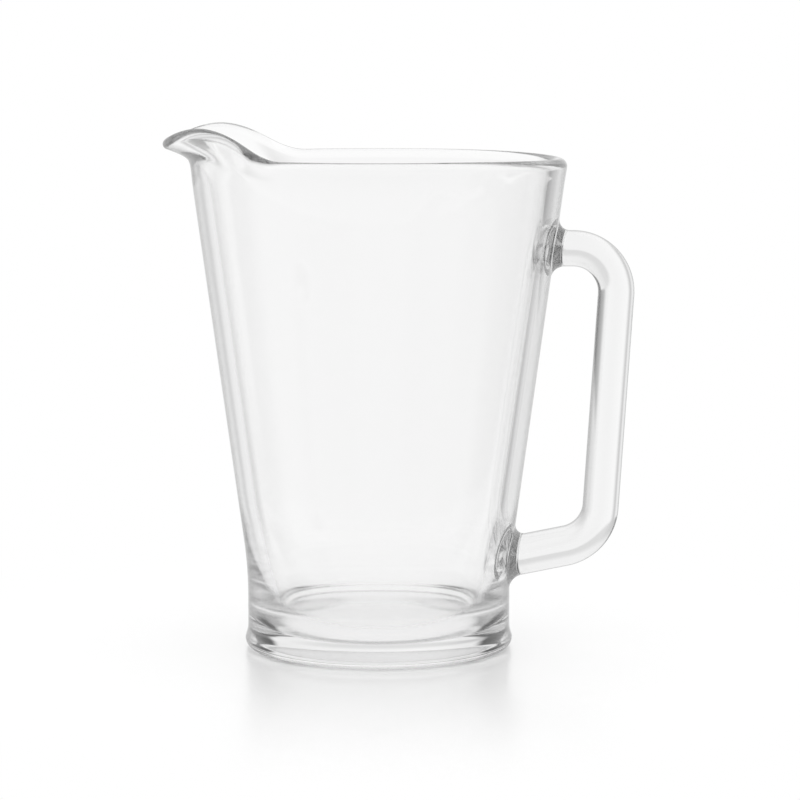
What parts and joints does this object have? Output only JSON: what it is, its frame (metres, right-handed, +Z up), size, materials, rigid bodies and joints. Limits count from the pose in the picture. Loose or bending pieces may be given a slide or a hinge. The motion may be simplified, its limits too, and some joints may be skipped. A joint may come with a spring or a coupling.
{
  "type": "glass jug",
  "caption": "Tapered clear glass pouring jug with an open top, a pulled lip with raised ears, a thick base and a welded solid glass D handle, for serving water.",
  "frame": {"origin": "centre of the flat underside, on the vessel's axis, at table level", "axes": "+Z up along the vessel's axis, -X towards the pouring lip, +X towards the handle, Y across, the jug being the same on both sides of the XZ plane"},
  "size_m": [0.1887, 0.152, 0.2119],
  "materials": {
    "clear_glass": "clear, colourless pressed glass, fire polished"
  },
  "bodies": {
    "root": {"vessel": "clear_glass", "handle": "clear_glass"}
  },
  "joints": []
}
